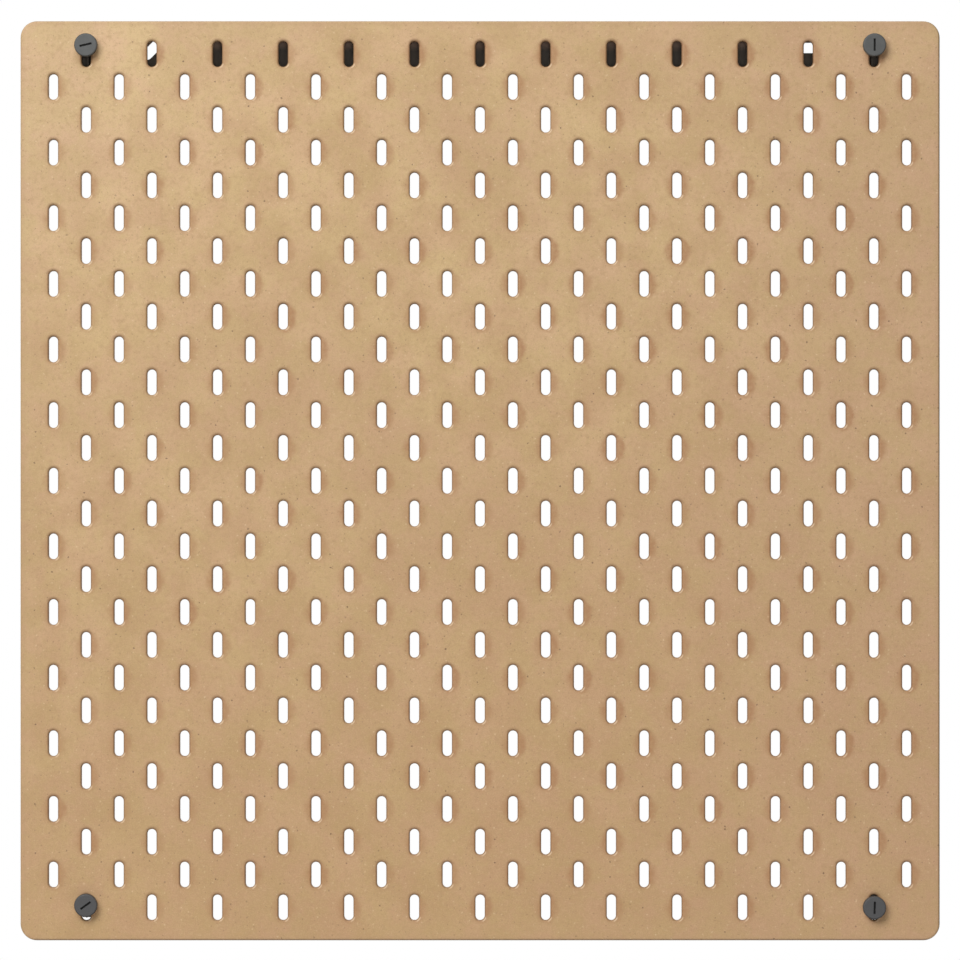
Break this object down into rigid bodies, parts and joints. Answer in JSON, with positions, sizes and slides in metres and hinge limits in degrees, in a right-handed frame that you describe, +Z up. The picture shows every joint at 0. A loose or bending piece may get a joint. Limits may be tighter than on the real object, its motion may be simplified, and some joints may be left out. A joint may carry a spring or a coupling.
{
  "type": "pegboard",
  "caption": "Square slotted wall pegboard that hangs on a channel rail by knob screws, with round spacers behind its lower corners.",
  "frame": {"origin": "middle of the rail's back face, on the wall, level with the two top knob screws", "axes": "+X right as seen from the front, +Y into the wall, +Z up"},
  "size_m": [0.56, 0.031, 0.5602],
  "materials": {
    "fibreboard": "satin",
    "knob_plastic": "satin",
    "rail_plastic": "satin"
  },
  "bodies": {
    "rail": {"mounting_rail": "rail_plastic"},
    "board": {"pegboard_panel": "fibreboard"},
    "top_left_knob": {"top_left_knob": "knob_plastic"},
    "bottom_left_spacer": {"bottom_left_spacer": "rail_plastic"},
    "bottom_left_knob": {"bottom_left_knob": "knob_plastic"},
    "top_right_knob": {"top_right_knob": "knob_plastic"},
    "bottom_right_spacer": {"bottom_right_spacer": "rail_plastic"},
    "bottom_right_knob": {"bottom_right_knob": "knob_plastic"}
  },
  "joints": [
    {"name": "board_lift", "type": "slide", "parent": "rail", "child": "board", "axis": [0, 0, 1], "range_m": [0, 0.0105]},
    {"name": "top_left_knob_turn", "type": "hinge", "parent": "rail", "child": "top_left_knob", "pos_m": [-0.24, -0.025, 0], "axis": [0, -1, 0], "range_deg": [0, 450]},
    {"name": "bottom_left_spacer_slide", "type": "slide", "parent": "board", "child": "bottom_left_spacer", "axis": [0, 0, 1], "range_m": [-0.00685, 0.00365]},
    {"name": "bottom_left_knob_turn", "type": "hinge", "parent": "bottom_left_spacer", "child": "bottom_left_knob", "pos_m": [-0.24, -0.025, -0.52365], "axis": [0, -1, 0], "range_deg": [0, 450]},
    {"name": "top_right_knob_turn", "type": "hinge", "parent": "rail", "child": "top_right_knob", "pos_m": [0.24, -0.025, 0], "axis": [0, -1, 0], "range_deg": [0, 450]},
    {"name": "bottom_right_spacer_slide", "type": "slide", "parent": "board", "child": "bottom_right_spacer", "axis": [0, 0, 1], "range_m": [-0.00545, 0.00505]},
    {"name": "bottom_right_knob_turn", "type": "hinge", "parent": "bottom_right_spacer", "child": "bottom_right_knob", "pos_m": [0.24, -0.025, -0.52505], "axis": [0, -1, 0], "range_deg": [0, 450]}
  ]
}
